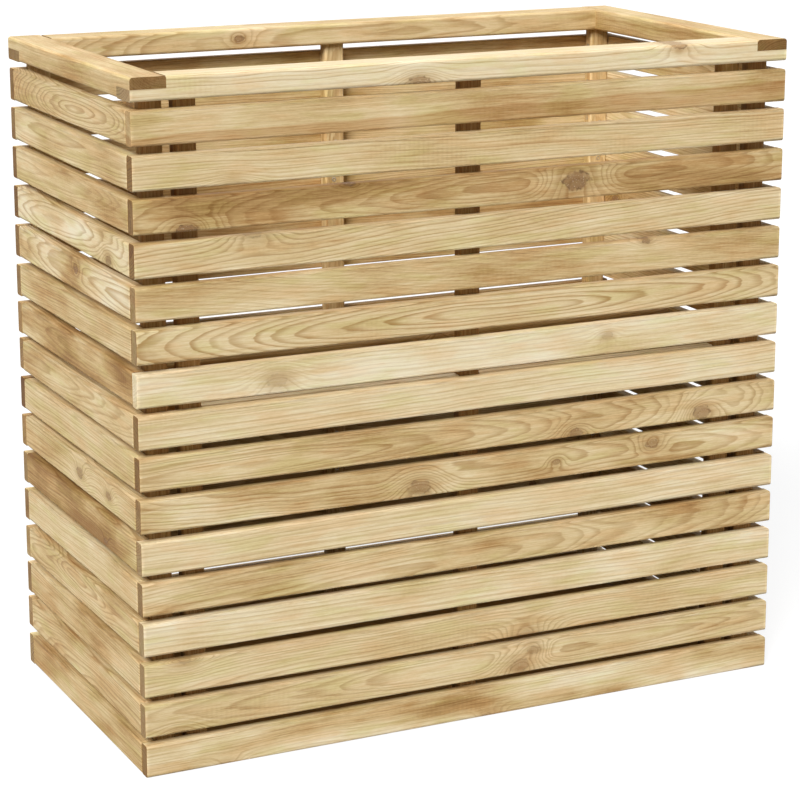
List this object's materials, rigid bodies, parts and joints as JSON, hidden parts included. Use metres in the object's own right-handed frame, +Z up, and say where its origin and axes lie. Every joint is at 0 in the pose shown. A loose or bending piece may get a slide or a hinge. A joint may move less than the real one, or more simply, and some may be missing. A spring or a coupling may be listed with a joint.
{
  "type": "wooden planter",
  "caption": "Tall rectangular slatted timber planter box with a half-lapped rim frame, inner battens and a raised slatted shelf for plants.",
  "frame": {"origin": "centre of the footprint, on the ground", "axes": "+X along the long walls, to the right seen from the front; +Y from front to back; +Z up"},
  "size_m": [1, 0.51, 0.955],
  "materials": {
    "slat_timber": "planed, pressure-treated softwood, matt",
    "batten_timber": "planed, pressure-treated softwood, matt",
    "shelf_timber": "planed, pressure-treated softwood, matt",
    "rail_timber": "planed, pressure-treated softwood, matt",
    "screw_steel": "zinc-plated"
  },
  "bodies": {
    "root": {"front_slat_01": "slat_timber", "front_slat_02": "slat_timber", "front_slat_03": "slat_timber", "front_slat_04": "slat_timber", "front_slat_05": "slat_timber", "front_slat_06": "slat_timber", "front_slat_07": "slat_timber", "front_slat_08": "slat_timber", "front_slat_09": "slat_timber", "front_slat_10": "slat_timber", "front_slat_11": "slat_timber", "front_slat_12": "slat_timber", "front_slat_13": "slat_timber", "front_slat_14": "slat_timber", "front_slat_15": "slat_timber", "front_slat_16": "slat_timber", "back_slat_01": "slat_timber", "back_slat_02": "slat_timber", "back_slat_03": "slat_timber", "back_slat_04": "slat_timber", "back_slat_05": "slat_timber", "back_slat_06": "slat_timber", "back_slat_07": "slat_timber", "back_slat_08": "slat_timber", "back_slat_09": "slat_timber", "back_slat_10": "slat_timber", "back_slat_11": "slat_timber", "back_slat_12": "slat_timber", "back_slat_13": "slat_timber", "back_slat_14": "slat_timber", "back_slat_15": "slat_timber", "back_slat_16": "slat_timber", "left_slats": "slat_timber", "right_slats": "slat_timber", "corner_batten_front_left": "batten_timber", "corner_batten_front_right": "batten_timber", "corner_batten_back_left": "batten_timber", "corner_batten_back_right": "batten_timber", "mid_batten_front": "batten_timber", "mid_batten_back": "batten_timber", "pair_batten_left": "batten_timber", "pair_batten_right": "batten_timber", "shelf_bearer_left": "batten_timber", "shelf_bearer_middle": "batten_timber", "shelf_bearer_right": "batten_timber", "front_ledgers": "batten_timber", "back_ledgers": "batten_timber", "shelf_slat_1": "shelf_timber", "shelf_slat_2": "shelf_timber", "shelf_slat_3": "shelf_timber", "shelf_slat_4": "shelf_timber", "shelf_slat_5": "shelf_timber", "shelf_slat_6": "shelf_timber", "front_rail": "rail_timber", "back_rail": "rail_timber", "left_rail": "rail_timber", "right_rail": "rail_timber", "lap_screws": "screw_steel"}
  },
  "joints": []
}
